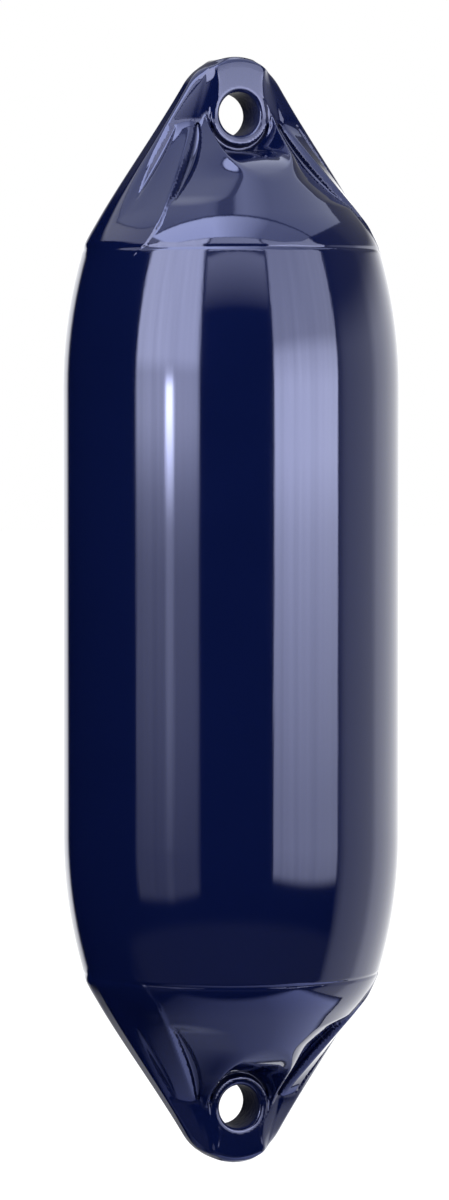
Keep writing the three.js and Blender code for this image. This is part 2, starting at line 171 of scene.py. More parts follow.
@dataclass
class EndForm:
    """Form of one moulded end of the body, as a field that is negative inside the vinyl.

    All sizes are millimetres. Depth runs from the tip towards the middle of the body, x across
    the fins and y along the bore.
    """

    body_radius: float = 110.0
    crease_radius: float = 97.0
    crease_depth: float = 125.5
    crease_sink: float = 0.55
    crease_width: float = 1.1
    edge_scale: float = 0.96
    shoulder_depth: float = 215.0
    dome_half_angle: float = math.radians(40.9)
    dome_apex_depth: float = 6.7
    dome_edge_length: float = 22.0

    eye_depth: float = 37.4
    bore_radius: float = 14.2
    bore_lip: float = 3.4
    cheek_height: float = 15.0
    cheek_half_width: float = 16.0
    cheek_spread: float = 0.16
    cheek_largest_share: float = 0.85
    cheek_fade: tuple[float, float] = (10.0, 27.0)
    nose_radius: float = 38.0
    nose_rounding: float = 6.5
    nose_fade: tuple[float, float] = (12.0, 26.0)

    fin_angle: float = math.radians(31.0)
    fin_foot_depth: float = 121.0
    fin_foot_half_width: float = 98.0
    fin_foot_angle: float = math.radians(27.5)
    fin_eye_handle: float = 46.0
    fin_foot_handle: float = 38.0
    fin_runout_depth: float = 10.0
    fin_runout_sink: float = 4.0
    outline_steps: int = 400
    fin_foot_softness: float = 4.0
    foot_dive: float = 5.0
    foot_dive_lead: float = 12.0
    foot_dive_run: float = 2.0
    foot_dive_widths: tuple[float, float] = (70.0, 94.0)
    fin_edge_height: float = 5.0
    fin_thickening: float = 0.058
    fin_rounding: float = 2.6
    flute_start: float = 42.0
    flute_end: float = 96.0
    flute_inset: float = 6.0
    flute_radius: float = 2.7
    flute_taper: float = 0.4
    hollow_width: float = 8.0
    hollow_sink: float = 0.6
    hollow_inset: float = 1.2
    hollow_fullness: float = 1.3

    fold_half_width: float = 19.0
    fold_spread: float = 0.29
    fold_height_share: float = 0.5
    fold_rounding: float = 1.6
    ridge_start: float = 41.0
    ridge_spread: float = 0.625
    ridge_height: float = 2.4
    ridge_end: float = 96.0
    ridge_fade: float = 0.9
    ridge_clearance: float = 0.3
    crest_largest_share: float = 0.93
    crest_lift: float = 3.0
    crest_rounding: float = 1.2
    ledge_start: float = 36.0
    ledge_end: float = 106.0
    ledge_width: float = 9.5
    ledge_fall: float = 0.25
    ledge_fullness: float = 0.8
    ledge_rounding: float = 1.6
    wall_slope: float = 2.5
    wall_inset: float = 1.5
    groove_start: float = 38.0
    groove_end: float = 97.0
    groove_radius: float = 3.4
    groove_taper: float = 0.3
    groove_fullness: float = 0.7
    groove_lip: float = 1.2
    flank_low_angle: float = math.radians(30.0)
    flank_high_angle: float = math.radians(43.0)
    flank_turn: tuple[float, float] = (60.0, 82.0)
    flank_fade: tuple[float, float] = (92.0, 112.0)
    flank_fade_width: float = 14.0
    flank_rounding: float = 3.0

    recess_radius: float = 23.7
    recess_waist_radius: float = 31.5
    recess_mouth_radius: float = 45.5
    recess_mouth_height: float = 62.3
    recess_edge: float = 1.0
    recess_floor: float = 8.0
    recess_floor_rounding: float = 1.0
    shelf_rounding: float = 3.0
    shelf_start: float = 22.5
    shelf_angle: float = math.radians(11.0)
    scoop_start: float = 28.3
    scoop_height: float = 45.0
    scoop_angle: float = math.radians(52.5)
    scoop_rounding: float = 7.0
    foot_rounding: float = 1.2
    boss_radius: float = 20.6
    moat_radius: float = 21.0
    moat_shift: float = 3.4
    moat_sink: float = 4.5
    moat_rounding: float = 1.6
    moat_floor_rounding: float = 2.0

    outline_depths: np.ndarray = field(init=False, repr=False)
    outline_widths: np.ndarray = field(init=False, repr=False)

    def __post_init__(self) -> None:
        """Works out the fin's outline from its curve."""
        self.outline_depths, self.outline_widths = self.fin_outline()

    def nose_end(self) -> tuple[float, float]:
        """Finds where the nose's arc passes into the fin's long curve.

        Returns:
            Depth and half-width of that point.
        """
        turn = math.pi / 2 + self.fin_angle
        return (
            self.nose_radius * (1 + math.cos(turn)),
            self.nose_radius * math.sin(turn),
        )

    def fin_outline(self) -> tuple[np.ndarray, np.ndarray]:
        """Samples the fin's outline below the nose: one S curve and a short run-out.

        Returns:
            Depths and half-widths along the outline.
        """
        start = np.array(self.nose_end())
        foot = np.array([self.fin_foot_depth, self.fin_foot_half_width])
        eye_handle = self.fin_eye_handle * np.array([math.cos(self.fin_angle), math.sin(self.fin_angle)])
        foot_way = np.array([math.cos(self.fin_foot_angle), math.sin(self.fin_foot_angle)])
        controls = [start, start + eye_handle, foot - self.fin_foot_handle * foot_way, foot]
        t = np.linspace(0, 1, self.outline_steps)[:, None]
        weights = [(1 - t) ** 3, 3 * (1 - t) ** 2 * t, 3 * (1 - t) * t**2, t**3]
        curve = sum(weight * point for weight, point in zip(weights, controls))
        bend = foot + foot_way * self.fin_runout_depth / 4
        end = foot + np.array([self.fin_runout_depth, -self.fin_runout_sink])
        runout = (1 - t) ** 2 * foot + 2 * (1 - t) * t * bend + t**2 * end
        outline = np.vstack([curve, runout[1:]])
        return outline[:, 0], outline[:, 1]

    def dome_radius(self, depth: np.ndarray) -> np.ndarray:
        """Radius of the dome's cone, which steepens near its edge.

        Args:
            depth: Depths from the tip.

        Returns:
            Radii of the cone.
        """
        edge_start = self.crease_depth - self.dome_edge_length
        slope = math.tan(self.dome_half_angle)
        at_crease = (self.crease_depth - self.dome_apex_depth) * slope
        fall = (at_crease - self.crease_radius) / self.dome_edge_length**2
        past = np.maximum(depth - edge_start, 0.0)
        return (depth - self.dome_apex_depth) * slope - fall * past * past

    def skin_radius(self, depth: np.ndarray) -> np.ndarray:
        """Radius of the turned body: the dome, the crease and the shoulder's arc.

        Args:
            depth: Depths from the tip.

        Returns:
            Radii of the body.
        """
        rise = self.shoulder_depth - self.crease_depth
        inset = self.body_radius - self.crease_radius
        arc = (rise * rise + inset * inset) / (2 * inset)
        left = np.clip(self.shoulder_depth - depth, 0.0, rise)
        shoulder = self.body_radius - arc + np.sqrt(arc * arc - left * left)
        groove = self.crease_sink * np.exp(-(((depth - self.crease_depth) / self.crease_width) ** 2))
        return np.where(depth < self.crease_depth, self.dome_radius(depth), shoulder) - groove

    def turned_field(self, x: np.ndarray, y: np.ndarray, depth: np.ndarray) -> np.ndarray:
        """Field of the turned body.

        Args:
            x: Widths across the fins.
            y: Heights from the plane of the fins.
            depth: Depths from the tip.

        Returns:
            The field of dome, crease and shoulder.
        """
        past = smooth_step(depth, self.crease_depth - self.dome_edge_length, self.crease_depth)
        cosine = math.cos(self.dome_half_angle)
        return (np.hypot(x, y) - self.skin_radius(depth)) * (cosine + (self.edge_scale - cosine) * past)

    def corners(self, depth: np.ndarray) -> dict[str, np.ndarray]:
        """Corners of a quarter section at each depth.

        Args:
            depth: Depths from the tip.

        Returns:
            Widths and heights of the fin's edge, the cheek, the crest and the foot of the ledge.
        """
        nose_depth, _ = self.nose_end()
        arc = np.sqrt(np.maximum(self.nose_radius**2 - (self.nose_radius - depth) ** 2, 0.0))
        half = np.where(depth < nose_depth, arc, np.interp(depth, self.outline_depths, self.outline_widths))
        edge = self.fin_edge_height + self.fin_thickening * depth
        edge = self.cheek_height + (edge - self.cheek_height) * smooth_step(half, *self.cheek_fade)
        cheek = np.minimum(self.cheek_half_width + self.cheek_spread * depth, self.cheek_largest_share * half)
        crest = self.fold_half_width + self.fold_spread * np.minimum(depth, self.ridge_start)
        crest = crest + self.ridge_spread * np.maximum(depth - self.ridge_start, 0.0)
        crest = np.minimum(crest, self.crest_largest_share * half)
        fold_height = edge + (self.cheek_height - edge) * self.fold_height_share
        fade = self.ridge_fade * smooth_step(depth, self.ridge_end, self.crease_depth)
        ridge = self.ridge_height * (1 - fade)
        ridge_radius = np.minimum(self.dome_radius(depth) + ridge, self.crease_radius - self.ridge_clearance)
        ridge_height = np.sqrt(np.maximum(ridge_radius**2 - crest**2, 0.0))
        crest_height = -smooth_union(-fold_height, -ridge_height, self.crest_lift)
        share = np.clip((depth - self.ledge_start) / (self.ledge_end - self.ledge_start), 0.0, 1.0)
        ledge = self.ledge_width * np.sin(math.pi * share) ** self.ledge_fullness
        return {
            "half": half,
            "edge": edge,
            "cheek": cheek,
            "crest": crest,
            "fold_height": fold_height,
            "crest_height": crest_height,
            "foot": crest - ledge,
            "foot_height": crest_height - self.ledge_fall * ledge,
        }

    def outline_field(self, x: np.ndarray, depth: np.ndarray, half: np.ndarray) -> np.ndarray:
        """Field of the flat outline of eye and fins.

        Args:
            x: Widths across the fins, without sign.
            depth: Depths from the tip.
            half: Half-width of the outline at each depth.

        Returns:
            Distance from the outline, negative inside.
        """
        nose_depth, _ = self.nose_end()
        slope = np.gradient(self.outline_widths, self.outline_depths)
        flank = (x - half) * slope_scale(np.interp(depth, self.outline_depths, slope))
        nose = np.hypot(x, depth - self.nose_radius) - self.nose_radius
        return np.where(depth < nose_depth, nose, flank)

    def web_height(
        self, x: np.ndarray, depth: np.ndarray, at: dict[str, np.ndarray]
    ) -> tuple[np.ndarray, np.ndarray]:
        """Height and slope of the web between crest and fin edge, with its shallow hollow.

        Args:
            x: Widths across the fins, without sign.
            depth: Depths from the tip.
            at: Corners of the section at each depth.

        Returns:
            Heights of the web, and its slope.
        """
        run = np.maximum(at["half"] - at["crest"], LEAST_RUN)
        slope = (at["edge"] - at["crest_height"]) / run
        height = at["edge"] + slope * (x - at["half"])
        share = (depth - self.flute_start) / (self.fin_foot_depth - self.flute_start)
        swell = np.sin(math.pi * np.clip(share, 0.0, 1.0))
        inward = (at["half"] - x - self.hollow_inset) / np.maximum(self.hollow_width * swell, LEAST_RUN)
        hollow = np.sin(math.pi * np.clip(inward, 0.0, 1.0)) ** self.hollow_fullness
        return height - self.hollow_sink * swell * hollow, slope

    def blade_field(self, x: np.ndarray, y: np.ndarray, depth: np.ndarray) -> np.ndarray:
        """Field of the eye and the fins, with their ridges and ledges.

        Args:
            x: Widths across the fins, without sign.
            y: Heights from the plane of the fins, without sign.
            depth: Depths from the tip.

        Returns:
            The field of the eye and fins.
        """
        at = self.corners(depth)
        fold_run = np.maximum(at["crest"] - at["cheek"], LEAST_RUN)
        fold_slope = (at["fold_height"] - self.cheek_height) / fold_run
        fold = self.cheek_height + fold_slope * (x - at["cheek"])
        lug = smooth_overlap(y - self.cheek_height, (y - fold) * slope_scale(fold_slope), self.fold_rounding)
        ledge = y - at["crest_height"] - self.ledge_fall * (x - at["crest"])
        wall = y - at["foot_height"] - self.wall_slope * (x - at["foot"] + self.wall_inset)
        wall = wall * slope_scale(np.array(self.wall_slope))
        inner = smooth_union(lug, smooth_overlap(ledge, wall, self.ledge_rounding), self.ledge_rounding)
        web, web_slope = self.web_height(x, depth, at)
        top = smooth_overlap(inner, (y - web) * slope_scale(web_slope), self.crest_rounding)
        outline = self.outline_field(x, depth, at["half"])
        near_nose = 1 - smooth_step(x, *self.nose_fade)
        rounding = self.fin_rounding + (self.nose_rounding - self.fin_rounding) * near_nose
        return smooth_overlap(outline, top, rounding)

    def flank_field(self, x: np.ndarray, y: np.ndarray, depth: np.ndarray) -> np.ndarray:
        """Field of the straight side of the dome, which rises from the foot of the ledge.

        Args:
            x: Widths across the fins, without sign.
            y: Heights from the plane of the fins, without sign.
            depth: Depths from the tip.

        Returns:
            The field of the dome's side.
        """
        at = self.corners(depth)
        turn = smooth_step(depth, *self.flank_turn)
        angle = self.flank_low_angle + (self.flank_high_angle - self.flank_low_angle) * turn
        reach = at["foot"] * np.cos(angle) + at["foot_height"] * np.sin(angle)
        fade = self.flank_fade_width * smooth_step(depth, *self.flank_fade)
        return x * np.cos(angle) + y * np.sin(angle) - reach - fade

    def recess_field(self, x: np.ndarray, y: np.ndarray, depth: np.ndarray) -> np.ndarray:
        """Field of the flared recess round the bore.

        Args:
            x: Widths across the fins, without sign.
            y: Heights from the plane of the fins, without sign.
            depth: Depths from the tip.

        Returns:
            The field, negative where the dome is cut away.
        """
        below = depth - self.eye_depth
        span = self.recess_mouth_height - self.cheek_height
        share = (y - self.cheek_height) / span
        bend = 2 * (self.recess_waist_radius - self.recess_radius)
        curve = self.recess_mouth_radius - self.recess_radius - bend
        bell = self.recess_radius + bend * share + curve * share * np.abs(share)
        slope = (bend + 2 * curve * np.abs(share)) / span
        wall = (np.hypot(x, below) - bell) * slope_scale(slope)
        shelf = (below - self.shelf_start) * math.cos(self.shelf_angle)
        shelf = shelf - (y - self.cheek_height) * math.sin(self.shelf_angle)
        scoop = (below - self.scoop_start) * math.sin(self.scoop_angle)
        scoop = scoop - (y - self.scoop_height) * math.cos(self.scoop_angle)
        lower = smooth_union(shelf, scoop, self.scoop_rounding)
        bowl = smooth_overlap(wall, lower, self.shelf_rounding)
        return smooth_overlap(bowl, self.recess_floor - y, self.recess_floor_rounding)

    def groove_size(
        self, depth: np.ndarray, start: float, end: float, radius: float, taper: float
    ) -> np.ndarray:
        """Radius of a groove that runs out to nothing at both ends.

        Args:
            depth: Depths from the tip.
            start: Depth where the groove starts.
            end: Depth where it ends.
            radius: Its largest radius.
            taper: Share of the radius that comes off at the ends, which end under the skin.

        Returns:
            Radii along the groove, below zero where there is none.
        """
        share = np.clip((depth - start) / (end - start), 0.0, 1.0)
        return radius * ((1 + taper) * np.sin(math.pi * share) ** self.groove_fullness - taper)

    def groove_field(self, x: np.ndarray, y: np.ndarray, depth: np.ndarray) -> np.ndarray:
        """Field of both grooves: between ledge and dome, and along the edge of the fin.

        Args:
            x: Widths across the fins, without sign.
            y: Heights from the plane of the fins, without sign.
            depth: Depths from the tip.

        Returns:
            The field, negative inside a groove.
        """
        at = self.corners(depth)
        radius = self.groove_size(
            depth, self.groove_start, self.groove_end, self.groove_radius, self.groove_taper
        )
        inner = np.hypot(x - at["foot"], y - at["foot_height"]) - radius
        radius = self.groove_size(
            depth, self.flute_start, self.flute_end, self.flute_radius, self.flute_taper
        )
        fall = (at["crest_height"] - at["edge"]) / np.maximum(at["half"] - at["crest"], LEAST_RUN)
        flute_height = at["edge"] + self.flute_inset * fall
        outer = np.hypot(x - at["half"] + self.flute_inset, y - flute_height) - radius
        return np.minimum(inner, outer)

    def moat_field(self, x: np.ndarray, y: np.ndarray, depth: np.ndarray) -> np.ndarray:
        """Field of the crescent pocket between the boss and the foot of the recess.

        Args:
            x: Widths across the fins, without sign.
            y: Heights from the plane of the fins, without sign.
            depth: Depths from the tip.

        Returns:
            The field, negative inside the pocket.
        """
        below = depth - self.eye_depth
        disc = np.hypot(x, below - self.moat_shift) - self.moat_radius
        boss = self.boss_radius - np.hypot(x, below)
        crescent = smooth_overlap(disc, boss, self.moat_rounding)
        return smooth_overlap(crescent, self.cheek_height - self.moat_sink - y, self.moat_floor_rounding)

    def solid(self, x: np.ndarray, y: np.ndarray, depth: np.ndarray, seat: Optional[ValveSeat]) -> np.ndarray:
        """Field of the whole end.

        Args:
            x: Widths across the fins.
            y: Heights from the plane of the fins.
            depth: Depths from the tip.
            seat: The valve's pocket, on the end that has one.

        Returns:
            Field values, negative inside the vinyl.
        """
        across = np.abs(x)
        height = np.abs(y)
        turned = self.turned_field(across, height, depth)
        dome = smooth_overlap(turned, self.flank_field(across, height, depth), self.flank_rounding)
        dome = smooth_overlap(dome, -self.recess_field(across, height, depth), self.recess_edge)
        near_foot = smooth_step(depth, self.ridge_end, self.fin_foot_depth)
        rounding = self.foot_rounding + (self.fin_foot_softness - self.foot_rounding) * near_foot
        dive_start = self.fin_foot_depth - self.foot_dive_lead
        dive = self.foot_dive * smooth_step(depth, dive_start, self.crease_depth + self.foot_dive_run)
        dive = dive * (1 - smooth_step(across, *self.foot_dive_widths))
        body = smooth_union(dome, self.blade_field(across, height, depth) + dive, rounding)
        body = smooth_overlap(body, -self.groove_field(across, height, depth), self.groove_lip)
        body = smooth_overlap(body, -self.moat_field(across, height, depth), self.moat_rounding)
        bore = self.bore_radius - np.hypot(x, depth - self.eye_depth)
        body = smooth_overlap(body, bore, self.bore_lip)
        if seat is not None:
            body = smooth_overlap(body, -seat.field(self, x, y, depth), seat.edge)
        return body


@dataclass
class Skin:
    """A mesh in millimetres: points, normals and faces of three or four corners."""

    points: np.ndarray
    normals: np.ndarray
    quads: np.ndarray
    rim: np.ndarray

    def sides(self) -> np.ndarray:
        """Every side of every face, as pairs of points in the direction of the face."""
        return np.vstack([self.quads[:, [k, (k + 1) % 4]] for k in range(4)])

    def edges(self) -> np.ndarray:
        """Every edge of the faces once, as pairs of points in rising order."""
        return np.unique(np.sort(self.sides(), axis=1), axis=0)

    def rim_edges(self) -> np.ndarray:
        """Finds the edges that only one face uses.

        Returns:
            Pairs of points, in the direction of that face.
        """
        sides = self.sides()
        keys = np.sort(sides, axis=1) @ np.array([len(self.points), 1])
        _, first, count = np.unique(keys, return_index=True, return_counts=True)
        return sides[first[count == 1]]


@dataclass
class SkinNet:
    """Finds the zero surface of a field on a grid and settles an even mesh on it."""

    widths: np.ndarray
    heights: np.ndarray
    depths: np.ndarray
    rounds: int = 9
    closing_rounds: int = 3
    stride: float = 0.6
    longest_step: float = 1.0
    probe: float = 0.2

    def gradient(self, form: Field, points: np.ndarray) -> np.ndarray:
        """Slope of the field at each point, by central differences.

        Args:
            form: The field.
            points: Points in (width, height, depth).

        Returns:
            The slope along each axis.
        """
        slopes = np.empty_like(points)
        for axis in range(3):
            ahead = points.copy()
            behind = points.copy()
            ahead[:, axis] += self.probe
            behind[:, axis] -= self.probe
            slopes[:, axis] = (form(*ahead.T) - form(*behind.T)) / (2 * self.probe)
        return slopes

    def crossings(self, values: np.ndarray, axis: int) -> tuple[np.ndarray, np.ndarray]:
        """Finds where the surface crosses the grid's edges along one axis.

        Args:
            values: Field values at the grid's corners.
            axis: Number of the axis.

        Returns:
            Whether each edge is crossed, and the crossing's place along the axis.
        """
        low = [slice(None)] * 3
        high = [slice(None)] * 3
        low[axis] = slice(None, -1)
        high[axis] = slice(1, None)
        first, second = values[tuple(low)], values[tuple(high)]
        crossed = (first < 0) != (second < 0)
        share = np.where(crossed, first / np.where(crossed, first - second, 1.0), 0.0)
        lines = (self.widths, self.heights, self.depths)[axis]
        return crossed, along_axis(lines[:-1], axis) + share * along_axis(np.diff(lines), axis)

    def cell_points(self, values: np.ndarray) -> tuple[np.ndarray, np.ndarray]:
        """Puts a point in each cell that the surface crosses, at the mean of its crossings.

        Args:
            values: Field values at the grid's corners.

        Returns:
            The points, and the number of each cell's point, or -1.
        """
        grid = (self.widths, self.heights, self.depths)
        shape = tuple(n - 1 for n in values.shape)
        total = np.zeros(shape + (3,))
        count = np.zeros(shape)
        for axis in range(3):
            crossed, place = self.crossings(values, axis)
            others = [k for k in range(3) if k != axis]
            for offsets in product((0, 1), repeat=2):
                pick = [slice(None)] * 3
                places = [place] * 3
                for other, offset in zip(others, offsets):
                    pick[other] = slice(offset, offset + shape[other])
                    places[other] = along_axis(grid[other][pick[other]], other)
                hit = crossed[tuple(pick)]
                places[axis] = place[tuple(pick)]
                for k in range(3):
                    total[..., k] += np.where(hit, places[k], 0.0)
                count += hit
        active = count > 0
        number = np.full(shape, -1)
        number[active] = np.arange(int(active.sum()))
        return total[active] / count[active][:, None], number

    def faces(self, values: np.ndarray, number: np.ndarray) -> np.ndarray:
        """Joins the points of the four cells round each crossed grid edge.

        Args:
            values: Field values at the grid's corners.
            number: The number of each cell's point, or -1.

        Returns:
            Faces of four points, turned outwards in (width, height, depth).
        """
        inside = values < 0
        found = []
        for axis in range(3):
            low = [slice(1, -1)] * 3
            high = [slice(1, -1)] * 3
            low[axis] = slice(None, -1)
            high[axis] = slice(1, None)
            first, second = inside[tuple(low)], inside[tuple(high)]
            cells = np.argwhere(first != second)
            outward = first[tuple(cells.T)]
            u, v = (axis + 1) % 3, (axis + 2) % 3
            cells[:, u] += 1
            cells[:, v] += 1
            loop = []
            for du, dv in ((-1, -1), (0, -1), (0, 0), (-1, 0)):
                corner = cells.copy()
                corner[:, u] += du
                corner[:, v] += dv
                loop.append(number[tuple(corner.T)])
            quad = np.stack(loop, axis=1)
            quad[~outward] = quad[~outward][:, ::-1]
            found.append(quad)
        return np.vstack(found)

    def settle(self, form: Field, skin: Skin, rim_radius: float) -> None:
        """Evens the mesh along the surface and brings every point onto it.

        Args:
            form: The field.
            skin: The mesh, which is changed.
            rim_radius: Radius of the open rim, which stays a flat ring.
        """
        edges = skin.edges()
        rim_edges = skin.rim_edges()
        on_rim = np.zeros(len(skin.points), bool)
        on_rim[skin.rim] = True
        free = edges[~on_rim[edges].all(axis=1)]
        pairs = np.vstack([free, free[:, ::-1]])
        pairs = pairs[~on_rim[pairs[:, 0]]]
        pairs = np.vstack([pairs, rim_edges, rim_edges[:, ::-1]])
        here, there = pairs.T
        degree = np.bincount(here, minlength=len(skin.points))
        depth = self.depths[-1]
        for round_number in range(self.rounds + self.closing_rounds):
            slopes = self.gradient(form, skin.points)
            size = np.maximum(np.linalg.norm(slopes, axis=1, keepdims=True), LEAST_SLOPE)
            normals = slopes / size
            if round_number < self.rounds:
                sums = [np.bincount(here, skin.points[there, k], len(skin.points)) for k in range(3)]
                mean = np.stack(sums, axis=1) / degree[:, None]
                step = self.stride * (mean - skin.points)
                step -= normals * (step * normals).sum(axis=1, keepdims=True)
                skin.points += step
            off = form(*skin.points.T)[:, None] / size
            skin.points -= normals * np.clip(off, -self.longest_step, self.longest_step)
            ring = skin.points[skin.rim]
            ring[:, :2] *= rim_radius / np.linalg.norm(ring[:, :2], axis=1, keepdims=True)
            ring[:, 2] = depth
            skin.points[skin.rim] = ring
        slopes = self.gradient(form, skin.points)
        skin.normals = slopes / np.linalg.norm(slopes, axis=1, keepdims=True)

    def skin(self, form: Field, rim_radius: float) -> Skin:
        """Makes the mesh of a field, open at the last depth.

        Args:
            form: The field.
            rim_radius: Radius of the open rim.

        Returns:
            The settled mesh.
        """
        values = form(
            self.widths[:, None, None],
            self.heights[None, :, None],
            self.depths[None, None, :],
        )
        points, number = self.cell_points(values)
        quads = self.faces(values, number)
        used, quads = np.unique(quads, return_inverse=True)
        quads = quads.reshape(-1, 4)
        skin = Skin(points[used], np.zeros((len(used), 3)), quads, np.array([], int))
        skin.rim = np.unique(skin.rim_edges())
        self.settle(form, skin, rim_radius)
        return skin


def graded(limit: float, fine: float, coarse: float, start: float) -> np.ndarray:
    """Grid lines on both sides of zero, whose spacing grows outwards.

    Args:
        limit: Distance that the lines reach.
        fine: Spacing near zero.
        coarse: Spacing at the limit.
        start: Distance where the spacing starts to grow.

    Returns:
        The lines in rising order.
    """
    lines = [0.0]
    while lines[-1] < limit:
        share = max(lines[-1] - start, 0.0) / (limit - start)
        lines.append(lines[-1] + fine + (coarse - fine) * share)
    half = np.array(lines[1:])
    return np.concatenate([-half[::-1], [0.0], half])


def banded(start: float, bands: list[tuple[float, float]]) -> np.ndarray:
    """Grid lines from a start through bands of even spacing.

    Args:
        start: The first line.
        bands: The end of each band and its spacing.

    Returns:
        The lines in rising order.
    """
    lines = [np.array([start])]
    for end, step in bands:
        first = lines[-1][-1]
        count = max(round((end - first) / step), 1)
        lines.append(np.linspace(first, end, count + 1)[1:])
    return np.concatenate(lines)


def mesh_object(name: str, skin: Skin) -> bpy.types.Object:
    """Makes a Blender object of a mesh in millimetres, shaded by its own normals.

    Args:
        name: Name of the piece.
        skin: The mesh.

    Returns:
        The new object, linked to the scene.
    """
    mesh = bpy.data.meshes.new(name)
    faces = [tuple(dict.fromkeys(face)) for face in skin.quads.tolist()]
    mesh.from_pydata((skin.points * METRES).tolist(), [], faces)
    mesh.polygons.foreach_set("use_smooth", [True] * len(mesh.polygons))
    mesh.normals_split_custom_set_from_vertices(skin.normals.tolist())
    mesh.update()
    piece = bpy.data.objects.new(name, mesh)
    bpy.context.scene.collection.objects.link(piece)
    return piece


def settle_piece(piece: bpy.types.Object, material: bpy.types.Material, node: str) -> None:
    """Dresses a piece and gives it its place in the frame.

    Args:
        piece: The finished piece.
        material: Its finish.
        node: The CAD node that it stands for.
    """
    piece.data.materials.append(material)
    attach(piece, Body.ROOT.value)
    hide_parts(node)


@dataclass
class FenderBody:
    """The moulded body: two ends and the barrel between them, one closed skin."""

    form: EndForm
    seat: ValveSeat
    length: float = 723.0
    tip_clearance: float = 0.036
    join_depth: float = 138.0
    shoulder_rings: int = 8
    barrel_rings: int = 4
    grid_reach: float = 113.0
    grid_fine_reach: float = 28.0
    grid_fine: float = 1.25
    grid_coarse: float = 2.9
    grid_start: float = -1.9
    grid_bands: tuple[tuple[float, float], ...] = ((56.0, 1.25), (122.0, 1.9), (129.0, 0.9))
    join_spacing: float = 2.1
    slope_run: float = 1.0

    def net(self) -> SkinNet:
        """Lays the grid that both ends are meshed on.

        Returns:
            The grid.
        """
        lines = graded(self.grid_reach, self.grid_fine, self.grid_coarse, self.grid_fine_reach)
        depths = banded(self.grid_start, [*self.grid_bands, (self.join_depth, self.join_spacing)])
        return SkinNet(lines, lines, depths)

    def end_skin(self, end: End) -> Skin:
        """Makes the mesh of one end, in its own (width, height, depth) frame.

        Args:
            end: Which end it is.

        Returns:
            The mesh.
        """
        seat = self.seat if end is End.UPPER else None

        def form(x: np.ndarray, y: np.ndarray, depth: np.ndarray) -> np.ndarray:
            """Field of this end."""
            return self.form.solid(x, y, depth, seat)

        radius = float(self.form.skin_radius(np.array(self.join_depth)))
        return self.net().skin(form, radius)

    def place(self, end: End, skin: Skin) -> tuple[np.ndarray, np.ndarray, np.ndarray]:
        """Moves an end from its own frame to the row's frame.

        Args:
            end: Which end it is.
            skin: The end's mesh.

        Returns:
            Points, normals and faces in the row's frame.
        """
        tip = self.form.eye_depth if end is End.UPPER else self.form.eye_depth - self.length
        points = skin.points.copy()
        normals = skin.normals.copy()
        points[:, 2] = tip - end.value * np.maximum(skin.points[:, 2], self.tip_clearance)
        normals[:, 2] = -end.value * skin.normals[:, 2]
        quads = skin.quads[:, ::-1] if end is End.UPPER else skin.quads
        return points, normals, quads

    def ring_depths(self) -> np.ndarray:
        """Depths of the barrel's rings between the two rims.

        Returns:
            Depths from the upper tip.
        """
        upper = np.linspace(self.join_depth, self.form.shoulder_depth, self.shoulder_rings + 1)[1:]
        lower = self.length - upper[::-1]
        middle = np.linspace(upper[-1], lower[0], self.barrel_rings + 1)[1:-1]
        return np.concatenate([upper, middle, lower])

    def barrel(self, rim: np.ndarray) -> tuple[np.ndarray, np.ndarray]:
        """Points and normals of the barrel's rings, below each point of the upper rim.

        Args:
            rim: Points of the upper rim in the row's frame.

        Returns:
            Points and normals, ring after ring.
        """
        direction = rim[:, :2] / np.linalg.norm(rim[:, :2], axis=1, keepdims=True)
        points = []
        normals = []
        for depth in self.ring_depths():
            near = min(depth, self.length - depth)
            radius = float(self.form.skin_radius(np.array(near)))
            ahead = float(self.form.skin_radius(np.array(near + self.slope_run)))
            slope = (ahead - radius) / self.slope_run * (1 if near == depth else -1)
            height = np.full((len(rim), 1), self.form.eye_depth - depth)
            points.append(np.hstack([direction * radius, height]))
            normal = np.hstack([direction, np.full((len(rim), 1), slope)])
            normals.append(normal / math.hypot(1.0, slope))
        return np.vstack(points), np.vstack(normals)

    def whole_skin(self) -> Skin:
        """Joins both ends and the barrel into one closed mesh.

        Returns:
            The whole mesh in the row's frame.
        """
        upper = self.end_skin(End.UPPER)
        lower = self.end_skin(End.LOWER)
        upper_points, upper_normals, upper_quads = self.place(End.UPPER, upper)
        lower_points, lower_normals, lower_quads = self.place(End.LOWER, lower)
        lower_points[lower.rim, :2] = upper_points[upper.rim, :2]
        barrel_points, barrel_normals = self.barrel(upper_points[upper.rim])
        lower_start = len(upper_points)
        barrel_start = lower_start + len(lower_points)
        size = len(upper.rim)
        column = np.full(len(upper_points), -1)
        column[upper.rim] = np.arange(size)
        sides = column[upper.rim_edges()]
        levels = [upper.rim]
        for ring in range(len(self.ring_depths())):
            levels.append(barrel_start + ring * size + np.arange(size))
        levels.append(lower_start + lower.rim)
        strips = [
            np.stack([above[sides[:, 0]], above[sides[:, 1]], below[sides[:, 1]], below[sides[:, 0]]], axis=1)
            for above, below in zip(levels, levels[1:])
        ]
        return Skin(
            np.vstack([upper_points, lower_points, barrel_points]),
            np.vstack([upper_normals, lower_normals, barrel_normals]),
            np.vstack([upper_quads, lower_quads + lower_start, *strips]),
            np.array([], int),
        )

    def build(self, material: bpy.types.Material) -> bpy.types.Object:
        """Makes the body and dresses it.

        Args:
            material: The vinyl.

        Returns:
            The finished piece.
        """
        piece = mesh_object("body_skin", self.whole_skin())
        settle_piece(piece, material, "fender_body")
        return piece


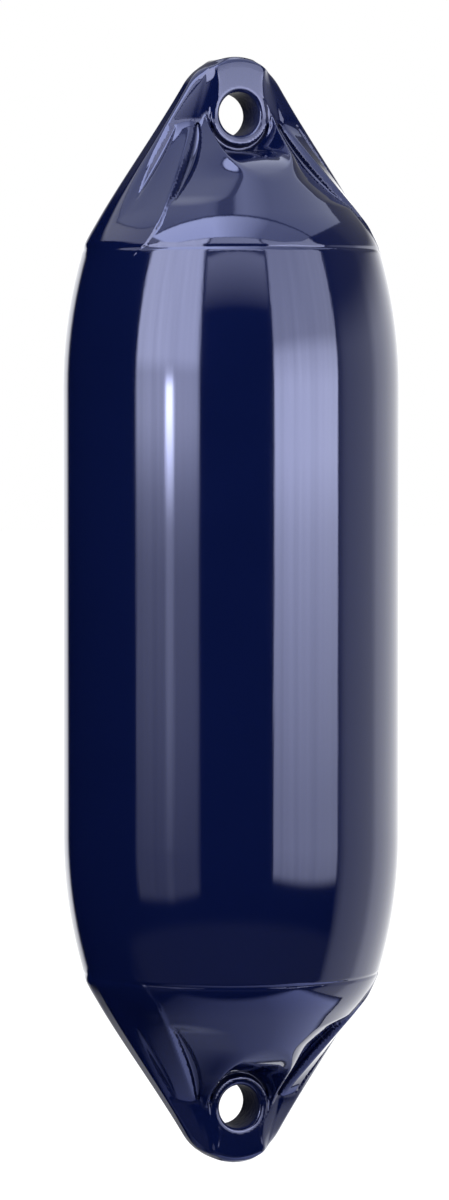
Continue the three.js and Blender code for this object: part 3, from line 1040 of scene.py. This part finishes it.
@dataclass(frozen=True)
class RoundPlastic:
    """Sizes of the turned plastic of the air valve, in millimetres from the dome's skin."""

    bevel: float = 0.35
    side_parts: int = 3
    steps: int = 72

    def rounded(self, corners: list[tuple[float, float]]) -> list[tuple[float, float]]:
        """Cuts each corner of a closed outline by the bevel.

        Args:
            corners: Radius and height of each corner.

        Returns:
            The outline with two points for each corner off the axis.
        """
        outline = []
        for before, here, after in zip(corners[-1:] + corners, corners, corners[1:] + corners[:1]):
            for other in (before, after):
                away = Vector(other) - Vector(here)
                share = min(self.bevel, away.length / self.side_parts)
                outline.append(tuple(Vector(here) + away.normalized() * share))
        return outline

    def ring(self, name: str, corners: list[tuple[float, float]]) -> bpy.types.Object:
        """Turns a closed outline that stays off the axis round it.

        Args:
            name: Name of the piece.
            corners: Radius and height of each corner, clockwise.

        Returns:
            The turned piece, with its axis along Z, in millimetres of its own frame.
        """
        outline = self.rounded(corners)
        count = len(outline)
        points = []
        for step in range(self.steps):
            angle = 2 * math.pi * step / self.steps
            points += [(r * math.cos(angle), r * math.sin(angle), z) for r, z in outline]
        faces = []
        for step in range(self.steps):
            here, there = step * count, (step + 1) % self.steps * count
            for k in range(count):
                after = (k + 1) % count
                faces.append((here + k, there + k, there + after, here + after))
        mesh = bpy.data.meshes.new(name)
        mesh.from_pydata([Vector(point) * METRES for point in points], [], faces)
        mesh.update()
        piece = bpy.data.objects.new(name, mesh)
        bpy.context.scene.collection.objects.link(piece)
        return piece


@dataclass
class AirValve:
    """Bush and slotted screw that close the body, on the back of the upper dome."""

    form: EndForm
    seat: ValveSeat
    plastic: RoundPlastic = field(default_factory=RoundPlastic)
    screw_head_radius: float = 7.0
    screw_head_thickness: float = 2.6
    screw_shank_radius: float = 4.6
    screw_length: float = 13.0
    screw_proud: float = 0.8
    slot_length: float = 21.0
    slot_width: float = 1.8
    slot_sink: float = 1.4
    flange_edge_width: float = 0.9
    edge_height: float = 0.4
    shank_edge: float = 0.8
    axis_radius: float = 0.02

    def placement(self) -> Matrix:
        """Finds the place of the valve's axis, with its foot on the dome's skin.

        Returns:
            The place and turn.
        """
        height = float(self.form.dome_radius(np.array(self.seat.depth)))
        place = Vector((0.0, height, self.form.eye_depth - self.seat.depth)) * METRES
        turn = Matrix.Rotation(self.form.dome_half_angle - math.pi / 2, 4, "X")
        return Matrix.Translation(place) @ turn

    def bush(self, material: bpy.types.Material) -> bpy.types.Object:
        """Makes the flanged bush.

        Args:
            material: Its plastic.

        Returns:
            The finished piece.
        """
        seat = self.seat
        top = seat.proud
        head_seat = top + self.screw_proud - self.screw_head_thickness - seat.clearance
        hole = self.screw_shank_radius + seat.clearance
        pocket = self.screw_head_radius + seat.clearance
        piece = self.plastic.ring(
            "valve_bush_turned",
            [
                (hole, top - seat.bush_length),
                (seat.barrel_radius, top - seat.bush_length),
                (seat.barrel_radius, top - seat.flange_thickness),
                (seat.flange_radius, top - seat.flange_thickness),
                (seat.flange_radius, top - self.edge_height),
                (seat.flange_radius - self.flange_edge_width, top),
                (pocket, top),
                (pocket, head_seat),
                (hole, head_seat),
            ],
        )
        piece.matrix_world = self.placement()
        settle_piece(piece, material, "valve_bush")
        return piece

    def screw(self, material: bpy.types.Material) -> bpy.types.Object:
        """Makes the slotted screw.

        Args:
            material: Its plastic.

        Returns:
            The finished piece.
        """
        top = self.seat.proud + self.screw_proud
        under = top - self.screw_head_thickness
        foot = top - self.screw_length
        piece = self.plastic.ring(
            "valve_screw_turned",
            [
                (self.axis_radius, foot),
                (self.screw_shank_radius - self.shank_edge, foot),
                (self.screw_shank_radius, foot + self.shank_edge),
                (self.screw_shank_radius, under),
                (self.screw_head_radius, under),
                (self.screw_head_radius, top - self.edge_height),
                (self.screw_head_radius - self.edge_height, top),
                (self.axis_radius, top),
            ],
        )
        self.cut_slot(piece, top)
        piece.matrix_world = self.placement()
        settle_piece(piece, material, "valve_screw")
        return piece

    def cut_slot(self, piece: bpy.types.Object, top: float) -> None:
        """Cuts the driver's slot into the screw's head.

        Args:
            piece: The screw.
            top: Height of the head's top in millimetres.
        """
        bpy.ops.mesh.primitive_cube_add(size=1.0, location=(0.0, 0.0, top * METRES))
        cutter = bpy.context.object
        cutter.scale = Vector((self.slot_length, self.slot_width, 2 * self.slot_sink)) * METRES
        cut = piece.modifiers.new("slot", "BOOLEAN")
        cut.object = cutter
        cut.operation = "DIFFERENCE"
        cut.solver = "EXACT"
        depsgraph = bpy.context.evaluated_depsgraph_get()
        piece.data = bpy.data.meshes.new_from_object(piece.evaluated_get(depsgraph))
        piece.modifiers.clear()
        bpy.data.objects.remove(cutter)


Value = Union[float, "Signal"]


@dataclass
class Signal:
    """A value in a node tree that shader maths is written with."""

    paint: "Paint"
    socket: bpy.types.NodeSocket

    def maths(self, operation: str, first: Value, second: Value) -> "Signal":
        """Joins two values with a Math node.

        Args:
            operation: The Math node's operation.
            first: Its first value.
            second: Its second value.

        Returns:
            The result.
        """
        node = self.paint.node("ShaderNodeMath", {"operation": operation}, {0: first, 1: second})
        return Signal(self.paint, node.outputs[0])

    def __add__(self, other: Value) -> "Signal":
        """Sum of two values."""
        return self.maths("ADD", self, other)

    def __radd__(self, other: Value) -> "Signal":
        """Sum of two values, the other first."""
        return self.maths("ADD", other, self)

    def __sub__(self, other: Value) -> "Signal":
        """Difference of two values."""
        return self.maths("SUBTRACT", self, other)

    def __rsub__(self, other: Value) -> "Signal":
        """Difference of two values, the other first."""
        return self.maths("SUBTRACT", other, self)

    def __mul__(self, other: Value) -> "Signal":
        """Product of two values."""
        return self.maths("MULTIPLY", self, other)

    def __rmul__(self, other: Value) -> "Signal":
        """Product of two values, the other first."""
        return self.maths("MULTIPLY", other, self)

    def __truediv__(self, other: Value) -> "Signal":
        """Quotient of two values."""
        return self.maths("DIVIDE", self, other)

    def __rtruediv__(self, other: Value) -> "Signal":
        """Quotient of two values, the other first."""
        return self.maths("DIVIDE", other, self)

    def __pow__(self, other: Value) -> "Signal":
        """Power of a value."""
        return self.maths("POWER", self, other)

    def __abs__(self) -> "Signal":
        """Size of a value without its sign."""
        return self.maths("ABSOLUTE", self, 0.0)

    def rise(self, first: float, last: float) -> "Signal":
        """Smooth rise from 0 at the first value to 1 at the last.

        Args:
            first: Value where the rise starts.
            last: Value where it ends.

        Returns:
            The share from 0 to 1.
        """
        node = self.paint.node(
            "ShaderNodeMapRange",
            {"interpolation_type": "SMOOTHSTEP"},
            {"Value": self, "From Min": first, "From Max": last},
        )
        return Signal(self.paint, node.outputs[0])


Input = Union[float, tuple, Vector, Signal, bpy.types.NodeSocket]
Colour = tuple[float, float, float, float]
Grades = tuple[tuple[float, float], ...]
BLACK: Colour = (0.0, 0.0, 0.0, 1.0)
WHITE: Colour = (1.0, 1.0, 1.0, 1.0)


@dataclass
class Paint:
    """Builder of one node tree."""

    tree: bpy.types.NodeTree

    def node(
        self, kind: str, settings: dict[str, object], values: dict[Union[int, str], Input]
    ) -> bpy.types.Node:
        """Adds a node, sets its settings, then fills its sockets.

        Args:
            kind: Type of the node.
            settings: Settings of the node.
            values: Constant, signal or socket for each input named.

        Returns:
            The new node.
        """
        node = self.tree.nodes.new(kind)
        for name, setting in settings.items():
            setattr(node, name, setting)
        for name, value in values.items():
            socket = value.socket if isinstance(value, Signal) else value
            if isinstance(socket, bpy.types.NodeSocket):
                self.tree.links.new(socket, node.inputs[name])
            else:
                node.inputs[name].default_value = socket
        return node

    def signal(self, node: bpy.types.Node, output: Union[int, str] = 0) -> Signal:
        """Takes an output of a node as a signal."""
        return Signal(self, node.outputs[output])

    def mix(self, share: Value, first: Input, second: Input) -> Signal:
        """Mixes two colours.

        Args:
            share: 0 for the first colour, 1 for the second.
            first: The first colour.
            second: The second colour.

        Returns:
            The mixed colour.
        """
        node = self.node("ShaderNodeMix", {"data_type": "RGBA"}, {0: share, 6: first, 7: second})
        return self.signal(node, 2)

    def place(self) -> Signal:
        """Place on the piece, in its own metres."""
        return self.signal(self.node("ShaderNodeTexCoord", {}, {}), "Object")

    def stretched(self, place: Signal, scale: tuple[float, float, float]) -> Signal:
        """Scales a place along each axis, to stretch a pattern."""
        return self.signal(self.node("ShaderNodeVectorMath", {"operation": "MULTIPLY"}, {0: place, 1: scale}))

    def noise(self, place: Signal, scale: float, detail: float = 2.0) -> Signal:
        """Soft noise from 0 to 1 at a place."""
        node = self.node("ShaderNodeTexNoise", {}, {"Vector": place, "Scale": scale, "Detail": detail})
        return self.signal(node)

    def dot(self, place: Signal, way: Vector) -> Signal:
        """Length of a place along a direction."""
        node = self.node("ShaderNodeVectorMath", {"operation": "DOT_PRODUCT"}, {0: place, 1: way})
        return self.signal(node, 1)

    def parts(self, vector: Signal) -> tuple[Signal, Signal, Signal]:
        """Splits a vector into its three parts."""
        node = self.node("ShaderNodeSeparateXYZ", {}, {0: vector})
        return self.signal(node, 0), self.signal(node, 1), self.signal(node, 2)

    def ramp(self, value: Signal, stops: Grades) -> Signal:
        """Reads a grey ramp at a value from 0 to 1.

        Args:
            value: Place on the ramp.
            stops: Place and grey of each stop.

        Returns:
            The ramp's grey.
        """
        node = self.node("ShaderNodeValToRGB", {}, {0: value})
        elements = node.color_ramp.elements
        for index, (place, grey) in enumerate(stops):
            element = elements[index] if index < 2 else elements.new(place)
            element.position = place
            element.color = (grey, grey, grey, 1.0)
        return self.signal(node)

    def bump(self, height: Signal, distance: float, strength: float = 1.0) -> Signal:
        """Turns a height from 0 to 1 into a bumped normal."""
        values = {"Height": height, "Distance": distance, "Strength": strength}
        return self.signal(self.node("ShaderNodeBump", {}, values))


def new_paint(name: str) -> tuple[bpy.types.Material, Paint, bpy.types.Node]:
    """Makes an empty material.

    Args:
        name: Name of the material.

    Returns:
        The material, its paint and its output node.
    """
    material = bpy.data.materials.new(name)
    material.use_nodes = True
    material.node_tree.nodes.clear()
    paint = Paint(material.node_tree)
    return material, paint, paint.node("ShaderNodeOutputMaterial", {}, {})


def lighter(shade: Colour, factor: float) -> Colour:
    """Scales the brightness of a colour.

    Args:
        shade: The colour.
        factor: Its new brightness as a share of the old.

    Returns:
        The scaled colour.
    """
    red, green, blue, _ = shade
    return red * factor, green * factor, blue * factor, 1.0


@dataclass(frozen=True)
class Vinyl:
    """Glossy dark blue vinyl with faint upright flow lines."""

    name: str = "vinyl"
    shade: Colour = (0.0012, 0.0028, 0.0205, 1.0)
    tint: Colour = (0.6, 0.645, 1.0, 1.0)
    ior: float = 1.75
    roughness: float = 0.055
    roughness_swing: float = 0.03
    line_scale: float = 260.0
    line_stretch: tuple[float, float, float] = (1.0, 1.0, 0.03)
    line_depth: float = 0.00002
    wave_scale: float = 9.0
    wave_stretch: tuple[float, float, float] = (1.0, 1.0, 0.35)
    wave_depth: float = 0.0004
    cloud_scale: float = 14.0
    cloud_lift: float = 1.25
    dull_shade: Colour = (0.006, 0.009, 0.04, 1.0)
    dull_roughness: float = 0.5
    dull_specular: float = 0.12
    dull_scale: float = 320.0
    dull_depth: float = 0.0006
    bore_radius: float = 0.0147
    bore_edge: tuple[float, float] = (0.99, 1.03)
    eye_drop: float = 0.6482

    def in_bore(self, paint: Paint, place: Signal) -> Signal:
        """Tells the dull walls of both bores from the rest.

        Args:
            paint: The material's paint.
            place: Place on the piece.

        Returns:
            1 on the walls, else 0.
        """
        across, _, up = paint.parts(place)
        near = abs(abs(up + self.eye_drop / 2) - self.eye_drop / 2)
        first, last = (self.bore_radius**2 * share for share in self.bore_edge)
        return 1.0 - (across * across + near * near).rise(first, last)

    def make(self) -> bpy.types.Material:
        """Builds the material.

        Returns:
            The material.
        """
        material, paint, output = new_paint(self.name)
        place = paint.place()
        lines = paint.noise(paint.stretched(place, self.line_stretch), self.line_scale)
        waves = paint.noise(paint.stretched(place, self.wave_stretch), self.wave_scale, detail=1.0)
        cloud = paint.noise(place, self.cloud_scale)
        lined = paint.node(
            "ShaderNodeBump",
            {},
            {"Height": lines, "Distance": self.line_depth, "Normal": paint.bump(waves, self.wave_depth)},
        )
        surface = paint.node(
            "ShaderNodeBsdfPrincipled",
            {},
            {
                "Base Color": paint.mix(cloud, self.shade, lighter(self.shade, self.cloud_lift)),
                "Roughness": self.roughness + self.roughness_swing * cloud,
                "IOR": self.ior,
                "Specular Tint": self.tint,
                "Normal": lined.outputs[0],
            },
        )
        dull = paint.node(
            "ShaderNodeBsdfPrincipled",
            {},
            {
                "Base Color": self.dull_shade,
                "Roughness": self.dull_roughness,
                "Specular IOR Level": self.dull_specular,
                "Normal": paint.bump(paint.noise(place, self.dull_scale, detail=4.0), self.dull_depth),
            },
        )
        whole = paint.node(
            "ShaderNodeMixShader",
            {},
            {0: self.in_bore(paint, place), 1: surface.outputs[0], 2: dull.outputs[0]},
        )
        paint.tree.links.new(whole.outputs[0], output.inputs[0])
        return material


@dataclass(frozen=True)
class HardPlastic:
    """Moulded plastic of the valve, fine-grained."""

    name: str
    shade: Colour
    roughness: float
    roughness_swing: float = 0.08
    grain_scale: float = 900.0
    grain_depth: float = 0.00004
    cloud_scale: float = 120.0
    cloud_lift: float = 1.3

    def make(self) -> bpy.types.Material:
        """Builds the material.

        Returns:
            The material.
        """
        material, paint, output = new_paint(self.name)
        place = paint.place()
        grain = paint.noise(place, self.grain_scale)
        cloud = paint.noise(place, self.cloud_scale)
        surface = paint.node(
            "ShaderNodeBsdfPrincipled",
            {},
            {
                "Base Color": paint.mix(cloud, self.shade, lighter(self.shade, self.cloud_lift)),
                "Roughness": self.roughness + self.roughness_swing * cloud,
                "Normal": paint.bump(grain, self.grain_depth),
            },
        )
        paint.tree.links.new(surface.outputs[0], output.inputs[0])
        return material


@dataclass
class Panel:
    """A flat light of the studio, seen by the object and not by the camera.

    The emission is graded along the panel's own Y, from its lower edge to its upper edge.
    """

    name: str
    place: Vector
    facing: Vector
    along: Vector
    width: float
    height: float
    stops: Grades
    strength: float
    tint: Colour = WHITE
    soft_edge: float = 0.04
    streaks: float = 0.0
    streak_stretch: tuple[float, float, float] = (1.0, 0.05, 0.0)
    streak_scale: float = 9.0
    adds: bool = False
    lights: bool = True

    def material(self) -> bpy.types.Material:
        """Makes the panel's graded glow.

        Returns:
            The material, which lets what is behind it through where the panel adds its light.
        """
        material, paint, output = new_paint(self.name)
        across, along, _ = paint.parts(paint.place())
        share = along / self.height + 0.5
        side = (self.width / 2 - abs(across)).rise(0.0, self.soft_edge)
        end = (self.height / 2 - abs(along)).rise(0.0, self.soft_edge)
        drawn = paint.stretched(paint.place(), self.streak_stretch)
        streak = paint.noise(drawn, self.streak_scale, detail=3.0)
        level = paint.ramp(share, self.stops) * side * end * (1.0 + self.streaks * (streak - 0.5))
        shade = paint.mix(level, BLACK, self.tint)
        light = paint.node("ShaderNodeEmission", {}, {"Color": shade, "Strength": self.strength})
        if self.adds:
            clear = paint.node("ShaderNodeBsdfTransparent", {}, {"Color": WHITE})
            light = paint.node("ShaderNodeAddShader", {}, {0: light.outputs[0], 1: clear.outputs[0]})
        paint.tree.links.new(light.outputs[0], output.inputs[0])
        return material

    def build(self) -> bpy.types.Object:
        """Hangs the panel in the studio.

        Returns:
            The panel.
        """
        mesh = bpy.data.meshes.new(self.name)
        x, y = self.width / 2, self.height / 2
        mesh.from_pydata([(-x, -y, 0), (x, -y, 0), (x, y, 0), (-x, y, 0)], [], [(0, 1, 2, 3)])
        mesh.materials.append(self.material())
        panel = bpy.data.objects.new(self.name, mesh)
        bpy.context.scene.collection.objects.link(panel)
        turn = Matrix((self.along.cross(self.facing), self.along, self.facing)).transposed()
        panel.matrix_world = Matrix.Translation(self.place) @ turn.to_4x4()
        panel.visible_camera = False
        panel.visible_shadow = False
        panel.visible_diffuse = self.lights
        return panel


LEFT_GRADES: Grades = (
    (0.0, 0.07),
    (0.117, 0.08),
    (0.163, 0.14),
    (0.205, 0.19),
    (0.225, 0.3),
    (0.2475, 0.64),
    (0.285, 0.62),
    (0.32, 0.85),
    (1.0, 0.8),
)
RIGHT_GRADES: Grades = (
    (0.0, 0.0),
    (0.045, 0.0),
    (0.07, 0.3),
    (0.15, 0.37),
    (0.21, 0.58),
    (0.235, 0.7),
    (0.262, 0.98),
    (0.3, 0.92),
    (0.36, 0.75),
    (0.4, 0.45),
    (1.0, 0.35),
)
MIDDLE_GRADES: Grades = (
    (0.0, 0.0),
    (0.1, 0.12),
    (0.3, 0.3),
    (0.305, 0.02),
    (0.36, 0.02),
    (0.365, 0.42),
    (1.0, 0.4),
)
STRIP_GRADES: Grades = (
    (0.0, 0.01),
    (0.37, 0.01),
    (0.52, 0.05),
    (0.7, 0.06),
    (0.75, 0.4),
    (0.805, 1.0),
    (0.86, 0.5),
    (0.91, 0.12),
    (1.0, 0.0),
)
TOP_GRADES: Grades = (
    (0.0, 0.25),
    (0.2, 0.25),
    (0.4, 0.3),
    (0.435, 0.26),
    (0.45, 0.13),
    (0.508, 0.13),
    (0.525, 0.42),
    (0.56, 0.48),
    (0.66, 0.3),
    (1.0, 0.3),
)
FORE_GRADES: Grades = ((0.0, 0.93), (0.42, 0.93), (0.5, 0.7), (0.62, 0.42), (0.68, 0.24), (1.0, 0.2))
LOW_GRADES: Grades = ((0.0, 0.0), (0.3, 0.25), (0.6, 0.4), (1.0, 1.0))
ROUND_GRADES: Grades = (
    (0.0, 0.9),
    (0.075, 0.9),
    (0.09, 0.0),
    (0.715, 0.0),
    (0.73, 0.32),
    (0.74, 0.42),
    (0.81, 0.5),
    (0.83, 0.8),
    (1.0, 0.9),
)


@dataclass(frozen=True)
class Surroundings:
    """What a glossy surface sees round the lights, by the direction that it looks in.

    A rise is a pair of values: none of the effect at the first, all of it at the second.
    """

    grades: Grades = ROUND_GRADES
    brightness: float = 1.8
    ambient: Colour = (0.55, 0.55, 0.56, 1.0)
    high_dimming: float = 0.85
    high_rise: tuple[float, float] = (0.1, 0.3)
    low_left_dimming: float = 0.75
    low_left_fall: tuple[float, float] = (0.12, 0.35)
    low_left_turn: tuple[float, float] = (0.0, 0.2)
    low_front_glow: float = 0.09
    low_front_start: tuple[float, float] = (0.36, 0.42)
    low_front_end: tuple[float, float] = (0.62, 0.78)
    low_front_turn: tuple[float, float] = (0.0, 0.3)
    high_left_glow: float = 1.3
    high_left_rise: tuple[float, float] = (0.45, 0.55)
    high_left_turn: tuple[float, float] = (0.25, 0.4)

    def seen(self, paint: Paint, along: Signal, across: Signal, lift: Signal) -> Signal:
        """Brightness in a direction, for glossy rays.

        Args:
            paint: The world's paint.
            along: The direction's part towards the camera.
            across: Its part to the picture's right.
            lift: Its upward part.

        Returns:
            The brightness.
        """
        turn = along.maths("ARCTAN2", across, along) / (2 * math.pi) + 0.5
        high = self.high_dimming * lift.rise(*self.high_rise)
        seen = paint.ramp(turn, self.grades) * (1.0 - high) * self.brightness
        fall = lift * -1.0
        left = across * -1.0
        low_left = self.low_left_dimming * fall.rise(*self.low_left_fall) * left.rise(*self.low_left_turn)
        seen = seen * (1.0 - low_left)
        low = fall.rise(*self.low_front_start) * (1.0 - fall.rise(*self.low_front_end))
        seen = seen + low * along.rise(*self.low_front_turn) * self.low_front_glow
        high_left = lift.rise(*self.high_left_rise) * left.rise(*self.high_left_turn)
        return seen + high_left * self.high_left_glow


@dataclass
class Studio:
    """White studio round the hanging fender, with its camera."""

    camera_azimuth: float = math.radians(-24.0)
    camera_rise: float = 0.14
    camera_distance: float = 3.3
    centre: Vector = field(default_factory=lambda: Vector((0.0, 0.0, -0.3246)))
    picture_scale: float = 1527.0
    picture_height: float = 1200.0
    aim_shift: tuple[float, float] = (-6.5, 12.3)
    floor_height: float = -1.2
    floor_size: float = 60.0
    floor_shade: Colour = (0.6, 0.6, 0.61, 1.0)
    floor_glow: float = 0.72
    side_distance: float = 1.6
    side_strength: float = 7.4
    ceiling_height: float = 1.2
    ceiling_length: float = 2.9
    ceiling_tint: Colour = (0.84, 0.88, 1.0, 1.0)
    low_tint: Colour = (0.62, 0.68, 1.0, 1.0)
    surroundings: Surroundings = field(default_factory=Surroundings)

    def way(self, turn: float, rise: float = 0.0) -> Vector:
        """Direction from the object, turned from the camera's side.

        Args:
            turn: Degrees to the picture's right of the camera.
            rise: Degrees above the horizon.

        Returns:
            The direction.
        """
        angle = self.camera_azimuth + math.radians(turn)
        lift = math.radians(rise)
        return Vector((math.sin(angle) * math.cos(lift), -math.cos(angle) * math.cos(lift), math.sin(lift)))

    def camera(self) -> bpy.types.Object:
        """Sets the camera where the photograph was taken from.

        Returns:
            The camera.
        """
        lift = math.asin(self.camera_rise / self.camera_distance)
        back = self.way(0.0, math.degrees(lift))
        right = Vector((math.cos(self.camera_azimuth), math.sin(self.camera_azimuth), 0.0))
        up = back.cross(right)
        shift = right * self.aim_shift[0] + up * self.aim_shift[1]
        aim = self.centre + shift / self.picture_scale
        data = bpy.data.cameras.new("camera")
        data.lens = self.picture_scale * self.camera_distance * data.sensor_width / self.picture_height
        camera = bpy.data.objects.new("camera", data)
        turn = Matrix((right, up, back)).transposed().to_4x4()
        camera.matrix_world = Matrix.Translation(aim + back * self.camera_distance) @ turn
        bpy.context.scene.collection.objects.link(camera)
        bpy.context.scene.camera = camera
        return camera

    def side_panel(
        self, name: str, edges: tuple[float, float], heights: tuple[float, float], stops: Grades
    ) -> Panel:
        """A tall light between two turns from the camera.

        Args:
            name: Name of the light.
            edges: Its nearer and farther edge, in degrees from the camera.
            heights: Heights of its lower and upper edge in metres.
            stops: Its grades from bottom to top.

        Returns:
            The light.
        """
        first, last = edges
        low, high = heights
        way = self.way((first + last) / 2)
        centre = way * self.side_distance
        centre.z = (low + high) / 2
        width = 2 * self.side_distance * math.tan(math.radians(abs(last - first)) / 2)
        return Panel(name, centre, -way, UP, width, high - low, stops, self.side_strength)

    def side_panels(self) -> list[Panel]:
        """The tall lights round the object.

        Returns:
            The lights, the strip in front of the left one last.
        """
        left = self.side_panel("light_left", (-19.5, -67.0), (-1.0, 2.2), LEFT_GRADES)
        left.soft_edge = 0.1
        right = self.side_panel("light_right", (27.5, 76.0), (-1.0, 1.9), RIGHT_GRADES)
        left.streaks = right.streaks = 0.5
        middle = self.side_panel("light_middle", (-19.0, 27.0), (0.38, 2.1), MIDDLE_GRADES)
        strip = self.side_panel("light_strip", (-36.5, -44.9), (-1.0, 0.0), STRIP_GRADES)
        strip.place += self.way(-39.9) * -0.05
        strip.strength = 20.0
        strip.soft_edge = 0.09
        strip.adds = True
        return [left, right, middle, strip]

    def ceiling_panel(self, name: str, forward: float, width: float, stops: Grades, strength: float) -> Panel:
        """A light over the object, graded from the picture's left to its right.

        Args:
            name: Name of the light.
            forward: How far it hangs towards the camera, in metres.
            width: Its size along the camera's line of sight.
            stops: Its grades.
            strength: Its strength.

        Returns:
            The light.
        """
        place = UP * self.ceiling_height + self.way(0.0) * forward
        return Panel(
            name=name,
            place=place,
            facing=-UP,
            along=self.way(90.0),
            width=width,
            height=self.ceiling_length,
            stops=stops,
            strength=strength,
            tint=self.ceiling_tint,
            lights=False,
        )

    def flat_panels(self) -> list[Panel]:
        """The lights over and under the object, which only its reflections see.

        Returns:
            The lights.
        """
        right_way = self.way(90.0)
        low = Panel(
            name="card_low",
            place=UP * -1.15 + right_way * 0.1,
            facing=UP,
            along=right_way,
            width=0.9,
            height=1.2,
            stops=LOW_GRADES,
            strength=2.3,
            tint=self.low_tint,
            soft_edge=0.12,
            lights=False,
        )
        return [
            self.ceiling_panel("light_top", forward=-0.45, width=1.5, stops=TOP_GRADES, strength=5.0),
            self.ceiling_panel("light_fore", forward=0.7, width=0.8, stops=FORE_GRADES, strength=7.0),
            low,
        ]

    def floor(self) -> bpy.types.Object:
        """Lays the plain pale floor.

        Returns:
            The floor.
        """
        bpy.ops.mesh.primitive_plane_add(size=self.floor_size, location=(0.0, 0.0, self.floor_height))
        floor = bpy.context.object
        floor.name = "floor"
        material, paint, output = new_paint("floor")
        surface = paint.node("ShaderNodeBsdfDiffuse", {}, {"Color": self.floor_shade})
        path = paint.node("ShaderNodeLightPath", {}, {})
        lift = paint.mix(paint.signal(path, "Is Camera Ray"), BLACK, WHITE)
        glow = paint.node("ShaderNodeEmission", {}, {"Color": lift, "Strength": self.floor_glow})
        whole = paint.node("ShaderNodeAddShader", {}, {0: surface.outputs[0], 1: glow.outputs[0]})
        paint.tree.links.new(whole.outputs[0], output.inputs[0])
        floor.data.materials.append(material)
        floor.visible_glossy = False
        return floor

    def world(self) -> None:
        """Paints the white surroundings, which a glossy piece sees darker on the camera's side."""
        world = bpy.data.worlds.new("studio")
        bpy.context.scene.world = world
        world.use_nodes = True
        world.node_tree.nodes.clear()
        paint = Paint(world.node_tree)
        direction = paint.signal(paint.node("ShaderNodeTexCoord", {}, {}), "Generated")
        right = Vector((math.cos(self.camera_azimuth), math.sin(self.camera_azimuth), 0.0))
        _, _, lift = paint.parts(direction)
        seen = self.surroundings.seen(
            paint, paint.dot(direction, self.way(0.0)), paint.dot(direction, right), lift
        )
        path = paint.node("ShaderNodeLightPath", {}, {})
        ambient = paint.mix(paint.signal(path, "Is Glossy Ray"), self.surroundings.ambient, seen)
        colour = paint.mix(paint.signal(path, "Is Camera Ray"), ambient, WHITE)
        output = paint.node("ShaderNodeOutputWorld", {}, {})
        background = paint.node("ShaderNodeBackground", {}, {"Color": colour, "Strength": 1.0})
        paint.tree.links.new(background.outputs[0], output.inputs[0])

    def build(self) -> None:
        """Sets up the whole studio."""
        self.world()
        self.floor()
        for panel in self.side_panels() + self.flat_panels():
            panel.build()
        self.camera()
        LOG.info("studio ready")


@dataclass
class Fender:
    """The whole fender: the moulded body and its air valve."""

    form: EndForm = field(default_factory=EndForm)
    seat: ValveSeat = field(default_factory=ValveSeat)

    def build(self) -> None:
        """Builds every piece and logs its size."""
        vinyl = Vinyl().make()
        bush_plastic = HardPlastic(Slot.BUSH.value, shade=(0.006, 0.009, 0.04, 1.0), roughness=0.36).make()
        screw_plastic = HardPlastic(Slot.SCREW.value, shade=(0.013, 0.018, 0.07, 1.0), roughness=0.42).make()
        valve = AirValve(self.form, self.seat)
        pieces = [
            FenderBody(self.form, self.seat).build(vinyl),
            valve.bush(bush_plastic),
            valve.screw(screw_plastic),
        ]
        for piece in pieces:
            LOG.info("%s: %d faces", piece.name, len(piece.data.polygons))


def main() -> None:
    """Builds the fender and its studio."""
    logging.basicConfig(level=logging.INFO, format="%(name)s: %(message)s")
    Fender().build()
    Studio().build()
    bpy.context.scene.view_settings.view_transform = "Standard"


if __name__ == "__main__":
    main()
